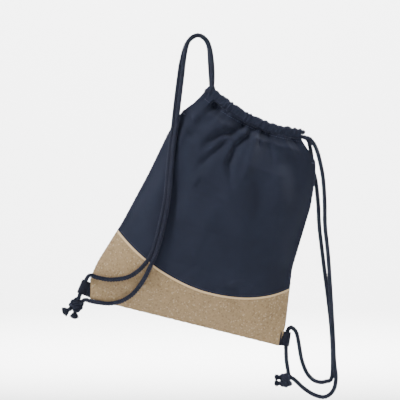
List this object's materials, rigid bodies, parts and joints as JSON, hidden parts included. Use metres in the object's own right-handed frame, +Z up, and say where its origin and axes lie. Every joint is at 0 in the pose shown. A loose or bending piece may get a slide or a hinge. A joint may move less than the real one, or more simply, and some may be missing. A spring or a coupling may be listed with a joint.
{
  "type": "drawstring backpack",
  "caption": "Soft gathered sack with a curved contrasting base band and two rope drawcords that form shoulder straps, tied through loop tabs at the bottom corners.",
  "frame": {"origin": "Underside of the left strap's top bend, where a peg or a hand holds the bag", "axes": "+Z up as it hangs, +X towards the side with the free strap, -Y is the front"},
  "size_m": [0.5061, 0.1084, 0.6669],
  "materials": {
    "canvas": "navy cotton canvas, matte plain weave",
    "cork": "cork cloth, matte, speckled tan",
    "cork_edge": "pale cut edge of the cork cloth",
    "webbing": "dark navy cotton webbing",
    "rope": "dark navy laid cotton rope",
    "thread": "navy sewing thread"
  },
  "bodies": {
    "bag": {"front_canvas_panel": "canvas", "back_canvas_panel": "canvas", "front_cork_panel": "cork", "back_cork_panel": "cork", "front_cork_edge": "cork_edge", "back_cork_edge": "cork_edge", "front_hem_channel": "canvas", "back_hem_channel": "canvas", "left_side_seam": "canvas", "right_side_seam": "canvas", "bottom_seam": "canvas", "slit_bartacks": "thread", "left_tab": "webbing", "right_tab": "webbing", "left_tab_stitching": "thread", "right_tab_stitching": "thread", "left_cord_in_hem": "rope", "right_cord_in_hem": "rope", "left_front_rope_rise": "rope", "left_back_rope_rise": "rope"},
    "left_strap": {"left_front_rope_fall": "rope", "left_back_rope_fall": "rope"},
    "left_knot": {"left_knot": "rope", "left_knot_tails": "rope"},
    "right_strap": {"right_front_rope": "rope", "right_back_rope": "rope"},
    "right_knot": {"right_knot": "rope", "right_knot_tails": "rope"}
  },
  "joints": [
    {"name": "left_strap_swing", "type": "hinge", "parent": "bag", "child": "left_strap", "pos_m": [-0.0295, 0, -0.056], "axis": [-0.4108, 0, -0.9117], "range_deg": [0, 65]},
    {"name": "left_knot_swing", "type": "hinge", "parent": "left_strap", "child": "left_knot", "pos_m": [-0.214, 0, -0.476], "axis": [1, 0, 0], "range_deg": [-25, 25]},
    {"name": "right_strap_swing", "type": "hinge", "parent": "bag", "child": "right_strap", "pos_m": [0.1915, 0, -0.1818], "axis": [-0.079, 0.0187, -0.9967], "range_deg": [-60, 60]},
    {"name": "right_knot_swing", "type": "hinge", "parent": "right_strap", "child": "right_knot", "pos_m": [0.166, 0, -0.613], "axis": [1, 0, 0], "range_deg": [-25, 25]}
  ]
}
